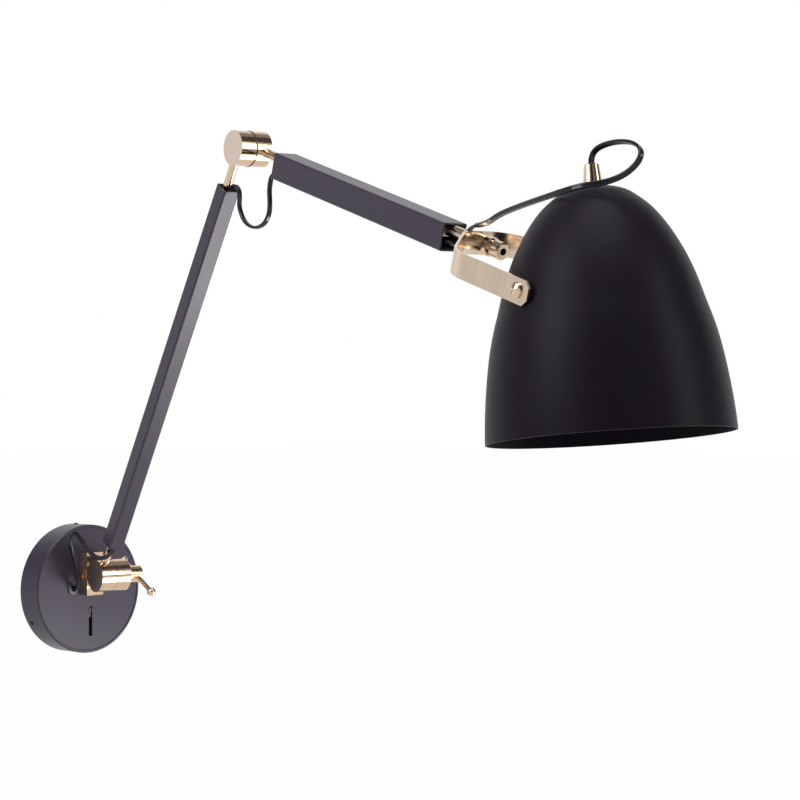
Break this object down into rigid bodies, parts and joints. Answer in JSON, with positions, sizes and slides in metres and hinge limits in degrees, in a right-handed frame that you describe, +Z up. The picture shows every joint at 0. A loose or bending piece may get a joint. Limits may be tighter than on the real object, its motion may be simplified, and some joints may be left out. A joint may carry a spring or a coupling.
{
  "type": "adjustable wall lamp",
  "caption": "Black and brass wall lamp with a round canopy, two square arms with brass cylinder hinges, a strap yoke and a tilting bell shade.",
  "frame": {"origin": "The centre of the canopy's back, on the wall, midway between the two keyhole slots of the wall plate.", "axes": "+Z is up. +Y points into the wall, so the lamp reaches out along -Y. +X is to the right of someone who faces the wall."},
  "size_m": [0.2573, 0.8363, 0.4669],
  "materials": {
    "black_enamel": "satin black paint",
    "matte_black": "matte black paint",
    "brass": "polished",
    "brushed_brass": "brushed across the strip",
    "steel": "zinc plated",
    "black_plastic": "moulded",
    "white_plastic": "moulded",
    "cord_black": "smooth glossy flex"
  },
  "bodies": {
    "wall_base": {"canopy_shell": "black_enamel", "wall_plate": "steel", "canopy_set_screws": "steel", "cord_inlet_bush": "black_plastic", "switch_case": "black_plastic", "terminal_block": "white_plastic", "mounting_block": "brass", "block_screws": "steel", "turn_pin": "steel", "base_cord_inner": "cord_black"},
    "switch": {"switch_slider": "black_plastic"},
    "swivel": {"lower_hinge_fixed_half": "brass"},
    "clamp": {"clamp_screw": "brass", "tommy_bar": "brass", "tommy_bar_balls": "brass"},
    "lower_arm": {"lower_hinge_arm_half": "brass", "lower_arm_rod_bottom": "brass", "lower_arm_plug_bottom": "steel", "lower_arm_tube": "black_enamel", "lower_arm_plug_top": "steel", "lower_arm_rod_top": "brass", "lower_arm_screws": "steel", "elbow_near_half": "brass", "elbow_bolt": "steel", "base_cord_outer": "cord_black", "elbow_cord": "cord_black"},
    "upper_arm": {"elbow_washer": "black_plastic", "elbow_far_half": "brass", "upper_arm_rod": "brass", "upper_arm_plug_rear": "steel", "upper_arm_tube": "black_enamel", "upper_arm_plug_front": "steel", "upper_arm_screws": "steel", "yoke_stem": "brass", "stem_shoulder_ring": "brass", "stem_collar": "brass", "stem_nut": "brass", "stem_end_cap": "brass", "shade_cord_inner": "cord_black"},
    "yoke": {"yoke_strap": "brushed_brass"},
    "shade": {"shade_shell": "matte_black", "shade_pivot_screws": "brass", "shade_pivot_spacers": "brass", "shade_pivot_nuts": "steel", "cord_grip": "brass", "cord_nipple": "brass", "cord_grip_nut": "steel", "lampholder_cap": "black_plastic", "lampholder_skirt": "black_plastic", "lampholder_ring": "black_plastic", "lampholder_contact": "steel", "lampholder_screw_shell": "steel", "shade_cord_outer": "cord_black"}
  },
  "joints": [
    {"name": "base_swivel", "type": "hinge", "parent": "wall_base", "child": "swivel", "pos_m": [0, -0.031, 0.0146], "axis": [0, 0, 1], "range_deg": [-25, 8], "deforming": ["base_cord_inner"]},
    {"name": "clamp_turn", "type": "hinge", "parent": "swivel", "child": "clamp", "pos_m": [0, -0.05586, 0.0146], "axis": [0.9857, -0.1685, 0], "range_deg": [0, 60]},
    {"name": "lower_hinge", "type": "hinge", "parent": "swivel", "child": "lower_arm", "pos_m": [0, -0.05586, 0.0146], "axis": [0.9857, -0.1685, 0], "range_deg": [-30, 85], "deforming": ["base_cord_outer"]},
    {"name": "elbow", "type": "hinge", "parent": "lower_arm", "child": "upper_arm", "pos_m": [-0.04077, -0.29442, 0.3916], "axis": [0.9857, -0.1685, 0], "range_deg": [-68, 56], "deforming": ["elbow_cord"]},
    {"name": "yoke_turn", "type": "hinge", "parent": "upper_arm", "child": "yoke", "pos_m": [-0.08437, -0.60294, 0.29875], "axis": [-0.1615, -0.9446, -0.2857], "range_deg": [-60, 60], "deforming": ["shade_cord_inner"]},
    {"name": "shade_tilt", "type": "hinge", "parent": "yoke", "child": "shade", "pos_m": [-0.1074, -0.73765, 0.25801], "axis": [0.9857, -0.1685, 0], "range_deg": [-30, 45], "deforming": ["shade_cord_outer"]},
    {"name": "switch_slide", "type": "slide", "parent": "wall_base", "child": "switch", "axis": [0, 0, -1], "range_m": [0, 0.012]}
  ]
}
